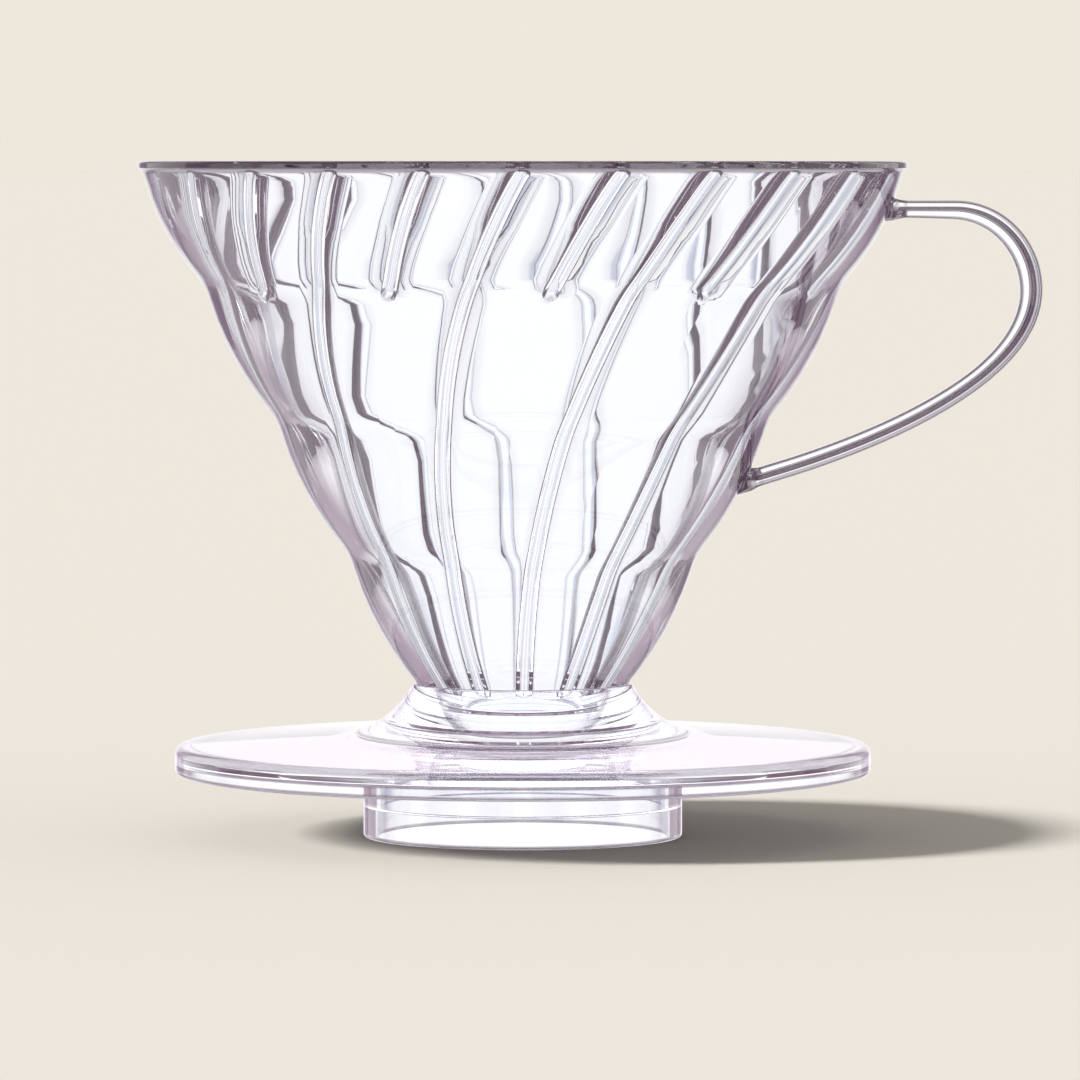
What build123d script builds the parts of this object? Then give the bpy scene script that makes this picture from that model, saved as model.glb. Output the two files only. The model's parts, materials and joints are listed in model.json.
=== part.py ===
from build123d import *
import math
import os

# Pour-over dripper moulded in clear plastic, in millimetres and degrees.
# The origin is on the funnel's axis, in the plane of the seat ring's foot.
# +Z runs up the axis to the funnel's mouth, and the handle reaches out along +X.

# Funnel
height = 102.0              # foot of the seat ring to the mouth
rim_radius = 58.0
rim_wall = 2.2              # wall at the mouth, measured level
rim_round = 0.45
rim_lip = 0.4               # how far the mouth's edge stands out over the first tier
rim_lip_height = 1.1
neck_height = 23.2          # where the funnel meets the saucer's skirt
neck_radius = 16.0
tier_shares = (0.226, 0.260, 0.264, 0.250)  # each tier's share of the funnel, mouth first
tier_bulge = 1.1            # how far each tier swells past its chord
outlet_radius = 10.0
outlet_drop = 3.15          # the inner wall reaches the outlet this far below the neck
outlet_lip = 2.9            # height of the cylindrical wall around the outlet

# Spiral ribs, which hold the paper off the wall
rib_radius = 1.1
rib_lift = 0.3              # the rib's centre line stands this far off the wall
rib_below_rim = 1.6         # mouth to the centre of a rib's round top
rib_twist = 29.0            # turn from mouth to neck
rib_easing = 1.65           # 1 would turn evenly; above 1 the turn slows on the way down
long_ribs = 12
short_rib_drop = 17.0       # how far down the short ribs between the long ones run
rib_stations = 7            # places along a rib where its line is fixed

# The cone's spigot and the saucer's collar around it
neck_shoulder = 1.4         # the spigot is this much smaller than the neck
spigot_wall = 2.3
spigot_fit = 0.05           # radial gap in the collar
spigot_recess = 0.4         # the spigot ends this far above the collar's foot
collar_wall = 2.55
collar_depth = 1.8          # how far the collar reaches below the plate's underside
collar_round = 0.9

# Saucer
skirt_ledge = 0.5           # the skirt's top edge stands out this far past the neck
skirt_lean = 28.0           # the skirt's slope off the vertical at its top
skirt_foot_radius = 29.0
plate_radius = 52.6
plate_underside = 11.8      # height of the plate's flat underside
plate_thickness = 2.1       # at the plate's edge
plate_rise = 1.5            # how much higher the plate's top is at the skirt's foot
plate_edge_round = 1.3
recess_depth = 3.6          # hollow between the collar and the locating rib
lip_wall = 2.3              # the plate's turned-down edge
lip_depth = 2.1
lip_round = 0.6

# Seat ring, which centres the dripper in a server or a mug
ring_radius = 24.1
ring_wall = 2.5
ring_tongue = 2.2           # how far the ring enters the plate's groove
ring_fit = 0.05             # radial gap between the groove and the ring's wall
tongue_relief = 0.5         # the tongue is slimmer than the ring's wall, on the outside
ring_step_height = 4.7
ring_step = 0.5             # the bore is this much wider below the step
ring_round = 0.5
locating_rib_wall = 2.0
locating_rib_depth = 1.4    # how far it reaches below the plate's underside

# Handle: a band with a rib along its inner side, bonded on at two roots
handle_width = 9.5
band_thickness = 1.3
handle_rib_width = 3.4
handle_rib_depth = 1.3
handle_rib_swell = 0.6      # extra depth in the middle of the bend
bend_share = 0.55           # the bend's share of the handle's length
handle_reach = 18.8         # mouth's edge to the outermost point of the band's inner face
handle_top_drop = 7.2       # mouth to the upper root
handle_bottom_drop = 48.0   # mouth to the lower root
upper_run = 7.0             # the straight top reaches this far past the mouth's edge
bend_drop = 12.1            # upper root to the outermost point
bend_pull = 6.6             # how full the upper bend is
return_pull = 14.0          # how full the bend is below its outermost point
end_pull = 17.0             # how long the handle keeps the slope of its lower root
lower_root_slope = 15.0
pad_flare = 0.5             # the pad at each root stands this far past the band
pad_length = 1.4
tenon_depth = 1.6
tenon_width = 6.0
tenon_thickness = 1.4
tenon_fit = 0.05
tenon_end_gap = 0.2
into_wall = 1.0             # the band is run this far into the wall, then trimmed to it
line_stations = 17          # places along the handle where its thickness is fixed


def turned(edges):
    """Solid made by turning a closed outline of (radius, height) about the axis."""
    return revolve(make_face(Plane.XZ * Curve(edges)), Axis.Z)


def straight(*points):
    return [Line(a, b) for a, b in zip(points, points[1:])]


def eased(start, corner, end):
    """Round stretch from start to end that is tangent to both sides of a corner."""
    return [Bezier(start, corner, end)]


# ---- The funnel's surfaces ----

def funnel_corners():
    """Corners (radius, height) between the tiers, from the mouth to the neck."""
    top_radius, top = rim_radius - rim_lip, height - rim_lip_height
    corners = [(top_radius, top)]
    done = 0.0
    for share in tier_shares:
        done += share / sum(tier_shares)
        corners.append((top_radius + (neck_radius - top_radius) * done,
                        top + (neck_height - top) * done))
    return corners


def tier_arc(start, end):
    """Arc from one corner to the next, swelling outward by tier_bulge at its middle."""
    run, drop = start[0] - end[0], start[1] - end[1]
    swell = tier_bulge / math.hypot(run, drop)
    middle = ((start[0] + end[0]) / 2 + swell * drop, (start[1] + end[1]) / 2 - swell * run)
    return ThreePointArc(start, middle, end)


def tier_arcs():
    corners = funnel_corners()
    return [tier_arc(start, end) for start, end in zip(corners, corners[1:])]


def outer_radius(level):
    """The funnel's outside radius at a height."""
    for (top_radius, top), (bottom_radius, bottom) in zip(funnel_corners(), funnel_corners()[1:]):
        if bottom <= level <= top:
            along = (top - level) / (top - bottom)
            lean = math.hypot(top_radius - bottom_radius, top - bottom) / (top - bottom)
            swell = 4 * tier_bulge * along * (1 - along) * lean
            return top_radius + (bottom_radius - top_radius) * along + swell
    raise ValueError("this height is off the funnel")


bore_at_mouth = rim_radius - rim_wall
outlet_top = neck_height - outlet_drop
wall_slope = (bore_at_mouth - outlet_radius) / (height - outlet_top)


def inner_radius(level):
    return bore_at_mouth - (height - level) * wall_slope


# ---- The handle's line, drawn with x out along +X and y up along +Z ----

upper_root = height - handle_top_drop
lower_root = height - handle_bottom_drop
lower_out = Vector(math.cos(math.radians(lower_root_slope)),
                   math.sin(math.radians(lower_root_slope)))


def handle_line():
    """Line between the band and its rib, from the upper root round to the lower one."""
    start = Vector(outer_radius(upper_root) - into_wall, upper_root)
    bend_start = Vector(rim_radius + upper_run, upper_root)
    outermost = Vector(rim_radius + handle_reach, upper_root - bend_drop)
    end = Vector(outer_radius(lower_root), lower_root) - lower_out * into_wall
    upper_bend = Bezier(bend_start, bend_start + Vector(bend_pull, 0),
                        outermost + Vector(0, bend_pull), outermost)
    lower_bend = Bezier(outermost, outermost - Vector(0, return_pull), end + lower_out * end_pull, end)
    return Wire([Line(start, bend_start), upper_bend, lower_bend])


def beside(line, depth_at):
    """Spline to the left of a line, at the depth that depth_at gives along it."""
    points = []
    for i in range(line_stations):
        along = i / (line_stations - 1)
        ahead = line % along
        points.append(line @ along + Vector(-ahead.Y, ahead.X) * depth_at(along))
    return Spline(points)


def strip(line, left_depth, right_depth, width):
    """Slab between two depths beside a line, centred on the XZ plane."""
    left, right = beside(line, left_depth), beside(line, right_depth)
    edges = [left, Line(left @ 1, right @ 1), right, Line(right @ 0, left @ 0)]
    return extrude(Plane.XZ * make_face(edges), width / 2, both=True)


def rib_depth(along):
    """The handle rib's depth, negative because it lies inside the loop."""
    in_bend = min(1.0, along / bend_share)
    return -handle_rib_depth - handle_rib_swell * math.sin(math.pi * in_bend) ** 2


def at_roots(shape):
    """The shape at both roots. Its x runs out along the handle and its z runs across."""
    upper = Plane((outer_radius(upper_root), 0, upper_root), (1, 0, 0), (0, -1, 0))
    lower = Plane((outer_radius(lower_root), 0, lower_root), (lower_out.X, 0, lower_out.Y), (0, -1, 0))
    return [upper * shape, lower * shape]


def tenon(gap, end_gap):
    """Tongue at a root, from inside the wall to inside the pad, grown by a gap."""
    reach = tenon_depth + end_gap + pad_length / 2
    centre = pad_length / 2 - reach / 2
    return Pos(centre, 0, 0) * Box(reach, tenon_thickness + 2 * gap, tenon_width + 2 * gap)


# ---- The cone ----

spigot_radius = neck_radius - neck_shoulder
collar_bottom = plate_underside - collar_depth


def cone_body():
    spigot_bore = spigot_radius - spigot_wall
    spigot_bottom = collar_bottom + spigot_recess
    lip_foot = outlet_top - outlet_lip
    inside = straight((neck_radius, neck_height), (spigot_radius, neck_height),
                      (spigot_radius, spigot_bottom), (spigot_bore, spigot_bottom),
                      (spigot_bore, lip_foot), (outlet_radius, lip_foot),
                      (outlet_radius, outlet_top), (bore_at_mouth, height), (rim_radius, height),
                      (rim_radius, height - rim_lip_height), funnel_corners()[0])
    body = turned(tier_arcs() + inside)
    rim_edges = body.edges().filter_by(GeomType.CIRCLE).group_by(Axis.Z)[-1]
    return fillet(rim_edges, rim_round)


def funnel_blank():
    """The funnel filled solid, which trims whatever is bonded to its outside."""
    top_corner = funnel_corners()[0]
    return turned(tier_arcs() + straight((neck_radius, neck_height), (0, neck_height),
                                         (0, top_corner[1]), top_corner))


rib_top = height - rib_below_rim


def rib_point(level):
    left_to_go = max(level - neck_height, 0.0) / (rib_top - neck_height)
    turn = math.radians(-rib_twist * (1 - left_to_go ** rib_easing))
    radius = inner_radius(level) - rib_lift
    return Vector(radius * math.cos(turn), radius * math.sin(turn), level)


def spiral_rib(bottom):
    """Round bar half sunk in the inner wall, turning as it goes down, with ball ends."""
    levels = [rib_top + (bottom - rib_top) * i / (rib_stations - 1) for i in range(rib_stations)]
    line = Spline([rib_point(level) for level in levels])
    bar = sweep(Plane(line @ 0, z_dir=line % 0) * Circle(rib_radius), line)
    return [bar, Pos(line @ 0) * Sphere(rib_radius), Pos(line @ 1) * Sphere(rib_radius)]


def spiral_ribs():
    """Long ribs down to the neck, with a short one midway between each two."""
    pitch = 360 / long_ribs
    long_rib, short_rib = spiral_rib(neck_height), spiral_rib(rib_top - short_rib_drop)
    ribs = []
    for i in range(long_ribs):
        ribs += [Rot(Z=i * pitch) * piece for piece in long_rib]
        ribs += [Rot(Z=(i + 0.5) * pitch) * piece for piece in short_rib]
    return ribs


def make_cone():
    pockets = at_roots(tenon(tenon_fit, tenon_end_gap))
    return (cone_body() + spiral_ribs()) - pockets


# ---- The saucer ----

collar_bore = spigot_radius + spigot_fit
groove_outer = ring_radius + ring_fit
groove_inner = ring_radius - ring_wall - ring_fit
groove_top = plate_underside + ring_tongue
recess_ceiling = plate_underside + recess_depth


def tube(inner, outer, bottom, top):
    return turned(straight((inner, bottom), (outer, bottom), (outer, top), (inner, top), (inner, bottom)))


def plate_blank():
    """Skirt and plate with the turned-down edge, flat underneath from the bore outwards."""
    plate_top = plate_underside + plate_thickness
    lip_bottom = plate_underside - lip_depth
    lip_inner = plate_radius - lip_wall
    skirt_top = (neck_radius + skirt_ledge, neck_height)
    skirt_foot = (skirt_foot_radius, plate_top + plate_rise)
    plate_edge = (plate_radius - plate_edge_round, plate_top)
    # The skirt's flare is tangent to its slope at the top and to the plate at its foot.
    plate_slope = plate_rise / (plate_edge[0] - skirt_foot[0])
    skirt_slope = 1 / math.tan(math.radians(skirt_lean))
    fall = skirt_top[1] - skirt_foot[1]
    out = (fall - plate_slope * (skirt_foot[0] - skirt_top[0])) / (skirt_slope - plate_slope)
    flare_corner = (skirt_top[0] + out, neck_height - skirt_slope * out)

    outline = straight((collar_bore, neck_height), skirt_top)
    outline += eased(skirt_top, flare_corner, skirt_foot)
    outline += straight(skirt_foot, plate_edge)
    outline += eased(plate_edge, (plate_radius, plate_top), (plate_radius, plate_top - plate_edge_round))
    outline += straight((plate_radius, plate_top - plate_edge_round), (plate_radius, lip_bottom + lip_round))
    outline += eased((plate_radius, lip_bottom + lip_round), (plate_radius, lip_bottom),
                     (plate_radius - lip_round, lip_bottom))
    outline += straight((plate_radius - lip_round, lip_bottom), (lip_inner, lip_bottom),
                        (lip_inner, plate_underside), (collar_bore, plate_underside),
                        (collar_bore, neck_height))
    return turned(outline)


def collar():
    """Tube around the cone's spigot, from the recess's ceiling down, rounded at its foot."""
    outer = collar_bore + collar_wall
    outline = eased((outer, collar_bottom + collar_round), (outer, collar_bottom),
                    (outer - collar_round, collar_bottom))
    outline += straight((outer - collar_round, collar_bottom), (collar_bore, collar_bottom),
                        (collar_bore, recess_ceiling), (outer, recess_ceiling),
                        (outer, collar_bottom + collar_round))
    return turned(outline)


def make_saucer():
    recess = tube(collar_bore, groove_inner, plate_underside, recess_ceiling)
    locating_rib = tube(groove_inner - locating_rib_wall, groove_inner,
                        plate_underside - locating_rib_depth, recess_ceiling)
    groove = tube(groove_inner, groove_outer, plate_underside, groove_top)
    return (plate_blank() - recess) + collar() + locating_rib - groove


# ---- The seat ring ----

def make_seat_ring():
    bore = ring_radius - ring_wall
    wide_bore = bore + ring_step
    tongue_radius = ring_radius - tongue_relief
    outline = straight((ring_radius - ring_round, 0), (wide_bore, 0), (wide_bore, ring_step_height),
                       (bore, ring_step_height), (bore, groove_top), (tongue_radius, groove_top),
                       (tongue_radius, plate_underside), (ring_radius, plate_underside - tongue_relief),
                       (ring_radius, ring_round))
    outline += eased((ring_radius, ring_round), (ring_radius, 0), (ring_radius - ring_round, 0))
    return turned(outline)


# ---- The handle ----

def make_handle():
    line = handle_line()
    band = strip(line, lambda along: band_thickness, lambda along: 0.0, handle_width)
    rib = strip(line, lambda along: band_thickness / 2, rib_depth, handle_rib_width)
    pad_height = band_thickness + handle_rib_depth + 2 * pad_flare
    pad_centre = (band_thickness - handle_rib_depth) / 2
    pad = Pos(0, pad_centre, 0) * Box(2 * pad_length, pad_height, handle_width + 2 * pad_flare)
    outside = (band + rib + at_roots(pad)) - funnel_blank()
    return outside + at_roots(tenon(0, 0))


os.makedirs("parts", exist_ok=True)
export_step(make_cone(), "parts/cone.step")
export_step(make_saucer(), "parts/saucer.step")
export_step(make_seat_ring(), "parts/seat_ring.step")
export_step(make_handle(), "parts/handle.step")
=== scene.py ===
"""Clear plastic pour-over dripper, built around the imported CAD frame, with its studio."""

import json
import math

import bmesh
import bpy
import numpy as np
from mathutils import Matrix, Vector


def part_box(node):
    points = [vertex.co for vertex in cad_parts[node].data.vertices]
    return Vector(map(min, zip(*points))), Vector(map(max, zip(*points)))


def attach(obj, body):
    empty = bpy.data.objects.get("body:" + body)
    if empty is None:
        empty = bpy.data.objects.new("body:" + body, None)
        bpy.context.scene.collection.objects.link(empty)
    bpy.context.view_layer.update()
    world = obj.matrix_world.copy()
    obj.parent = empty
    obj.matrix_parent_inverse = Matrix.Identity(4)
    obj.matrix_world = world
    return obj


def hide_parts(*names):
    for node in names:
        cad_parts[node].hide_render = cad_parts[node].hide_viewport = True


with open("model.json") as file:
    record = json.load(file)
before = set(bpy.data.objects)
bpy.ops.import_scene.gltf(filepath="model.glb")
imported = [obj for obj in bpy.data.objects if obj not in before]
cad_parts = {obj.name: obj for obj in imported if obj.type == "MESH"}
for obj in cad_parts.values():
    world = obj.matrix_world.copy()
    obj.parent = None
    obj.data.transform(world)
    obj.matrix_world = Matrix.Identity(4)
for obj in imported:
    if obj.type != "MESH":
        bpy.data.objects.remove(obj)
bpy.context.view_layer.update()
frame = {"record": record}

bl_info = {
    "name": "Pour-over dripper",
    "version": (1, 0, 0),
    "blender": (4, 5, 0),
    "location": "3D View > Sidebar > Dripper",
    "description": "Builds a clear plastic pour-over dripper and its studio",
    "category": "Object",
}

MM = 0.001
MOUNTS = {mount["name"]: mount for mount in frame["record"]["mounts"]}
SPIGOT = MOUNTS["server_spigot"]
OUTLET = MOUNTS["outlet"]
BODY = "root"
MOUTH_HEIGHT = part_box("cone")[1].z
MOUTH_RADIUS = -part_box("cone")[0].x
PLATE_RADIUS = -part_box("saucer")[0].x
PLATE_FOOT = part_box("saucer")[0].z
NECK_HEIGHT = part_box("saucer")[1].z
SPIGOT_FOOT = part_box("cone")[0].z
RING_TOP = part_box("seat_ring")[1].z
HANDLE_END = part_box("handle")[1].x


def length(name, description, default):
    return bpy.props.FloatProperty(name=name, description=description, default=default,
                                   unit="LENGTH", precision=5)


def angle(name, description, degrees):
    return bpy.props.FloatProperty(name=name, description=description, default=math.radians(degrees),
                                   subtype="ANGLE")


def number(name, description, default):
    return bpy.props.FloatProperty(name=name, description=description, default=default)


def count(name, description, default):
    return bpy.props.IntProperty(name=name, description=description, default=default)


def colour(name, description, default):
    return bpy.props.FloatVectorProperty(name=name, description=description, default=default,
                                         subtype="COLOR", size=3, min=0, max=1)


# ---------------------------------------------------------------- sizes and looks a user can change

class FunnelSizes(bpy.types.PropertyGroup):
    rim_wall: length("Rim wall", "Wall at the mouth, measured level", 2.2 * MM)
    rim_lip: length("Rim lip", "How far the mouth's edge stands out over the first tier", 0.4 * MM)
    rim_lip_height: length("Rim lip height", "Height of the mouth's upright edge", 1.1 * MM)
    rim_round: length("Rim round", "Rounding of the mouth's edges", 0.45 * MM)
    neck_radius: length("Neck radius", "Outside radius where the funnel meets the saucer", 16.0 * MM)
    tier_bulge: length("Tier bulge", "How far each tier swells past its chord", 1.1 * MM)
    valley: number("Valley", "Share of a tier that each side of a valley takes", 0.1)
    half_angle: angle("Half angle", "Slope of the inner wall off the axis", 29.2)
    outlet_radius: length("Outlet radius", "Radius of the hole at the bottom", OUTLET["dims"]["r_mm"] * MM)
    outlet_lip: length("Outlet lip", "Height of the wall around the hole", OUTLET["dims"]["length_mm"] * MM)
    spigot_radius: length("Spigot radius", "Outside of the tube that stands in the saucer", 14.6 * MM)
    spigot_wall: length("Spigot wall", "Wall of that tube", 2.3 * MM)


class RibSizes(bpy.types.PropertyGroup):
    radius: length("Rib radius", "Radius of a rib's crest", 1.1 * MM)
    lift: length("Lift", "How far the crest's centre stands off the wall", 0.25 * MM)
    fillet: length("Fillet", "Round between a rib and the wall", 0.15 * MM)
    # Painted shade: each rib's outline is a dark line painted along its flanks.
    flank_in: length("Flank in", "A rib's outline lies this far inside its side", 0.06 * MM)
    flank_width: length("Flank width", "Half the width of that outline", 0.32 * MM)
    below_rim: length("Below rim", "Mouth to the centre of a rib's round top", 1.6 * MM)
    twist: angle("Twist", "Turn from the mouth to the neck", 29.0)
    easing: number("Easing", "Above 1, the turn slows on the way down", 1.65)
    long_ribs: count("Long ribs", "Ribs that run down to the neck", 12)
    past_neck: length("Past neck", "How far below the neck the long ribs end", 1.6 * MM)
    short_drop: length("Short drop", "How far down the short ribs run", 17.0 * MM)


class SaucerSizes(bpy.types.PropertyGroup):
    skirt_top: length("Skirt top", "Radius of the skirt's top edge", 16.5 * MM)
    skirt_lean: angle("Skirt lean", "Slope of the skirt off the vertical at its top", 28.0)
    skirt_foot: length("Skirt foot", "Radius where the skirt runs out into the plate", 29.0 * MM)
    skirt_foot_height: length("Skirt foot height", "Height of that place", 15.4 * MM)
    plate_top: length("Plate top", "Top of the plate at its edge", 13.9 * MM)
    edge_round: length("Edge round", "Rounding of the plate's upper edge", 1.3 * MM)
    underside: length("Underside", "Height of the plate's flat underside", MOUNTS["plate_rest"]["pos_m"][2])
    lip_wall: length("Lip wall", "Thickness of the turned-down edge", 2.3 * MM)
    recess_ceiling: length("Recess ceiling", "Top of the hollow under the skirt", 15.4 * MM)
    collar_wall: length("Collar wall", "Wall of the collar around the spigot", 2.55 * MM)
    collar_foot: length("Collar foot", "Lower end of the collar", 10.0 * MM)
    locating_wall: length("Locating rib wall", "Wall of the rib inside the seat ring", 2.0 * MM)
    locating_foot: length("Locating rib foot", "Lower end of that rib", 10.4 * MM)
    gap: length("Gap", "Gap between one moulding and the next", 0.05 * MM)


class RingSizes(bpy.types.PropertyGroup):
    radius: length("Ring radius", "Outside radius of the seat ring", SPIGOT["dims"]["r_mm"] * MM)
    wall: length("Ring wall", "Wall of the seat ring", 2.5 * MM)
    relief: length("Relief", "The tongue above is slimmer than the wall, on the outside", 0.5 * MM)
    step: length("Step", "The bore is this much wider below the step", 0.5 * MM)
    step_height: length("Step height", "Height of the step inside", 4.7 * MM)
    edge_round: length("Edge round", "Rounding of the ring's edges", 0.5 * MM)


class HandleSizes(bpy.types.PropertyGroup):
    width: length("Width", "Width of the band", 9.5 * MM)
    band: length("Band thickness", "Thickness of the band", 1.3 * MM)
    rib_width: length("Rib width", "Width of the rib inside the loop", 3.4 * MM)
    rib_depth: length("Rib depth", "Depth of that rib", 1.3 * MM)
    rib_swell: length("Rib swell", "Extra depth in the middle of the bend", 0.6 * MM)
    top_drop: length("Top drop", "Mouth to the upper root", 7.2 * MM)
    bottom_drop: length("Bottom drop", "Mouth to the lower root", 48.0 * MM)
    straight: length("Straight run", "How far the level top reaches past the mouth", 7.0 * MM)
    bend_drop: length("Bend drop", "Upper root to the outermost point", 12.1 * MM)
    bend_pull: length("Bend pull", "How full the upper bend is", 6.6 * MM)
    return_pull: length("Return pull", "How full the bend is below its outermost point", 14.0 * MM)
    end_pull: length("End pull", "How long the handle keeps the slope of its lower root", 17.0 * MM)
    root_slope: angle("Root slope", "Slope of the handle at its lower root", 15.0)
    flare: length("Flare", "How far each root's pad stands past the band", 0.5 * MM)
    flare_length: length("Flare length", "How far the pad reaches along the handle", 2.4 * MM)
    edge_round: length("Edge round", "Rounding of the band's edges", 0.42 * MM)


class PlasticLook(bpy.types.PropertyGroup):
    clear: colour("Clear colour", "Tint seen straight through the plastic", (0.97, 0.98, 1.0))
    # Painted shade: the edge colour below is mixed into the plastic's colour where it is seen edge on, from
    # outside and from inside.
    edge: colour("Edge colour", "Tint where the plastic is seen edge on", (0.30, 0.20, 0.29))
    edge_starts: number("Edge starts", "How edge on the outside is seen where the tint starts, 0 to 1", 0.45)
    edge_full: number("Edge full", "How edge on the outside is seen where the tint is full", 0.98)
    inside_starts: number("Inside starts", "The same for a surface seen from inside the plastic", 0.17)
    inside_full: number("Inside full", "Where that tint is full", 0.36)
    # Painted shade: the outline colour is painted where the surface turns fast.
    outline: colour("Outline", "Tint where the surface turns fast", (0.07, 0.035, 0.06))
    # Painted glow: the next three colours are emitted by a ray cut off after many walls or mirrorings, dark
    # on the funnel and handle, pale on the plate and ring.
    through: colour("Through", "Light that has come through many walls", (0.92, 0.92, 0.95))
    trapped: colour("Trapped", "Light that has gone round inside the funnel many times", (0.07, 0.045, 0.065))
    flat_trapped: colour("Trapped in the plate", "The same for the plate and the ring", (0.74, 0.76, 0.78))
    ior: number("Refraction", "Index of refraction of the plastic", 1.53)


class StudioSettings(bpy.types.PropertyGroup):
    backdrop: colour("Backdrop", "Colour of the floor and the backdrop", (0.847, 0.799, 0.716))
    lens: bpy.props.FloatProperty(name="Lens", description="Focal length", default=243.0, unit="CAMERA")
    distance: length("Distance", "Camera to the funnel's axis", 1.1)
    pitch: angle("Pitch", "How far the camera looks down", 2.975)
    panels: count("Panels", "Number of white panels round the horizon", 8)
    panel_rows: number("Panel rows", "How fast the panels follow each other going up", 4.5)
    panel_light: number("Panel light", "Brightness of the white panels", 1.1)
    gap: colour("Gap", "Colour between the panels", (0.70, 0.76, 0.88))
    mirror_gap: colour("Mirrored gap", "The same, as the plastic's surface mirrors it", (0.40, 0.32, 0.41))
    inner_once: colour("Inner", "Light mirrored once inside the plastic", (0.40, 0.29, 0.38))
    inner_more: colour("Inner twice", "Light mirrored more than once inside", (0.13, 0.065, 0.105))
    gap_low: number("Gap start", "Where a panel's edge starts, from -1 to 1", -0.85)
    gap_high: number("Gap end", "Where a panel's edge ends, from -1 to 1", -0.35)
    sky_share: number("Sky share", "Share of the floor's light that comes from all round", 0.36)
    sun_height: angle("Sun height", "How high the soft sun stands", 23.0)
    sun_turn: angle("Sun turn", "Where the sun stands, turned from the front towards the handle", -72.0)
    sun_width: angle("Sun width", "How wide the soft sun is", 12.0)
    aside: length("Aside", "How far the camera stands to the handle's side", 2.6 * MM)


# ---------------------------------------------------------------- outlines and turned pieces

def rounded(corners, step=math.radians(15)):
    """Closed outline through corners (a, b, rounding). Each arc has a point close by on both sides,
    so that flat faces beside it stay flat when they are shaded smooth."""
    points = []
    for i, (a, b, rounding) in enumerate(corners):
        here = Vector((a, b))
        back = Vector(corners[i - 1][:2]) - here
        ahead = Vector(corners[(i + 1) % len(corners)][:2]) - here
        turn = math.pi - back.angle(ahead)
        if rounding <= 0 or turn < 1e-4:
            points.append((a, b))
            continue
        reach = rounding * math.tan(turn / 2)
        reach = min(reach, 0.42 * back.length, 0.42 * ahead.length)
        radius = reach / math.tan(turn / 2)
        centre = here + (back.normalized() + ahead.normalized()).normalized() * radius / math.cos(turn / 2)
        start, end = here + back.normalized() * reach, here + ahead.normalized() * reach
        pieces = max(2, round(turn / step))
        points.append(tuple(here + back.normalized() * reach * 1.15))
        for k in range(pieces + 1):
            arm = (start - centre).slerp(end - centre, k / pieces)
            points.append(tuple(centre + arm.normalized() * radius))
        points.append(tuple(here + ahead.normalized() * reach * 1.15))
    return points


# Degrees between two faces where the painted dark outline (painted shade) starts, and how many more make it
# full.
OUTLINE_STARTS = 4
OUTLINE_RANGE = 8


def face_outwards(bm):
    """Turns the faces of a closed mesh outwards and shades them smooth."""
    bmesh.ops.recalc_face_normals(bm, faces=bm.faces)
    if bm.calc_volume(signed=True) < 0:
        bmesh.ops.reverse_faces(bm, faces=bm.faces)
    for face in bm.faces:
        face.smooth = True


def mesh_object(name, verts, faces, material):
    """New smooth-shaded object of a closed mesh with its faces turned outwards."""
    mesh = bpy.data.meshes.new(name)
    mesh.from_pydata([tuple(v) for v in verts], [], faces)
    bm = bmesh.new()
    bm.from_mesh(mesh)
    bmesh.ops.remove_doubles(bm, verts=bm.verts, dist=1e-7)
    face_outwards(bm)
    # Where the surface turns fast, a dark outline is painted into the plastic's colour: painted shade where
    # the plastic is seen edge on.
    outline_shade_layer = bm.verts.layers.float.new("turned_edge")
    for vert in bm.verts:
        turn = max(edge.calc_face_angle(0.0) for edge in vert.link_edges)
        vert[outline_shade_layer] = min(1.0, max(0.0, math.degrees(turn) - OUTLINE_STARTS) / OUTLINE_RANGE)
    bm.to_mesh(mesh)
    bm.free()
    mesh.materials.append(material)
    piece = bpy.data.objects.new(name, mesh)
    bpy.context.scene.collection.objects.link(piece)
    return piece


def wrapped_grid(points):
    """Vertices and faces of a grid [row, column, xyz] that closes on itself both ways."""
    rows, columns = points.shape[:2]
    row = np.arange(rows)[:, None] * columns
    next_row = (np.arange(rows)[:, None] + 1) % rows * columns
    column = np.arange(columns)[None, :]
    next_column = (column + 1) % columns
    faces = np.stack([row + column, row + next_column, next_row + next_column, next_row + column], -1)
    return points.reshape(-1, 3), faces.reshape(-1, 4).tolist()


def turned_points(outline, angles):
    """Grid [outline point, column, xyz] of an outline turned about the axis."""
    outline = np.asarray(outline)
    angles = np.broadcast_to(angles, (len(outline), np.shape(angles)[-1]))
    radius = outline[:, 0, None]
    height = np.broadcast_to(outline[:, 1, None], angles.shape)
    return np.stack([radius * np.cos(angles), radius * np.sin(angles), height], -1)


def turned_object(name, corners, columns, material):
    """New object of a closed outline turned about the axis, in so many columns."""
    angles = np.arange(columns) * 2 * math.pi / columns
    return mesh_object(name, *wrapped_grid(turned_points(rounded(corners), angles[None, :])), material)


def bezier(p0, p1, p2, p3, steps):
    """Points of a cubic Bezier curve, both ends among them."""
    t = np.linspace(0, 1, steps + 1)[:, None]
    p0, p1, p2, p3 = (np.asarray(p, float) for p in (p0, p1, p2, p3))
    return (1 - t) ** 3 * p0 + 3 * (1 - t) ** 2 * t * p1 + 3 * (1 - t) * t ** 2 * p2 + t ** 3 * p3


# ---------------------------------------------------------------- the funnel

TIER_SHARES = (0.226, 0.260, 0.264, 0.250)
TIER_STEPS = 6
NECK_ROUND = 0.12 * MM
LIP_ROUND = 0.15 * MM
OUTLET_ROUND = 0.3 * MM
SPIGOT_GAP = 0.03 * MM
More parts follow.
